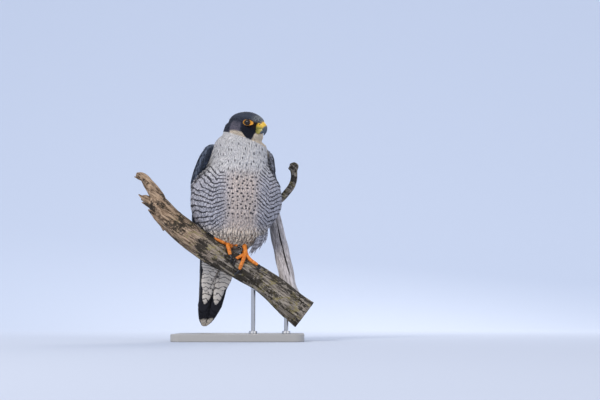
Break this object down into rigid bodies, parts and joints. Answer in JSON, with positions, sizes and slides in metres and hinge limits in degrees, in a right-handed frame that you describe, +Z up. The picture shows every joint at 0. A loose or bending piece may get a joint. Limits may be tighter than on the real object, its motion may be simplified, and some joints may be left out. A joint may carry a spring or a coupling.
{
  "type": "peregrine falcon on a perch",
  "caption": "Life-size still falcon with a dark hood and barred breast, gripping a cut length of dead branch on a plain display stand.",
  "frame": {"origin": "middle of the stand base's underside", "axes": "+Z up, the viewer of the picture stands at -Y and looks along +Y, +X to the viewer's right"},
  "size_m": [0.3388, 0.1869, 0.4344],
  "materials": {
    "breast_plumage": "soft off-white feathers with dark spots and bars",
    "hood_plumage": "blue-black feathers, pale cheek and throat",
    "slate_plumage": "slate blue-grey feathers, barred, with pale edges",
    "tail_plumage": "dark tail feathers with a black band and a pale tip",
    "eye_gloss": "wet, very dark brown",
    "cere_skin": "smooth yellow skin",
    "bill_horn": "blue-grey horn with a dark tip",
    "foot_skin": "scaly orange skin",
    "claw_horn": "polished black horn",
    "weathered_wood": "bare grey-brown dead wood, furrowed and mossy",
    "stand_paint": "satin pale paint",
    "rod_steel": "satin"
  },
  "bodies": {
    "root": {"torso": "breast_plumage", "neck": "breast_plumage", "thigh_L": "breast_plumage", "thigh_R": "breast_plumage", "head": "hood_plumage", "wing_L": "slate_plumage", "wing_R": "slate_plumage", "tail": "tail_plumage", "eye_L": "eye_gloss", "eye_R": "eye_gloss", "cere": "cere_skin", "bill_upper": "bill_horn", "bill_lower": "bill_horn", "foot_L": "foot_skin", "foot_R": "foot_skin", "claw_L_1": "claw_horn", "claw_L_2": "claw_horn", "claw_L_3": "claw_horn", "claw_L_4": "claw_horn", "claw_R_1": "claw_horn", "claw_R_2": "claw_horn", "claw_R_3": "claw_horn", "claw_R_4": "claw_horn", "perch_branch": "weathered_wood", "perch_prong": "weathered_wood", "perch_hook": "weathered_wood", "stand_base": "stand_paint", "stand_rod_1": "rod_steel", "stand_rod_2": "rod_steel"}
  },
  "joints": []
}
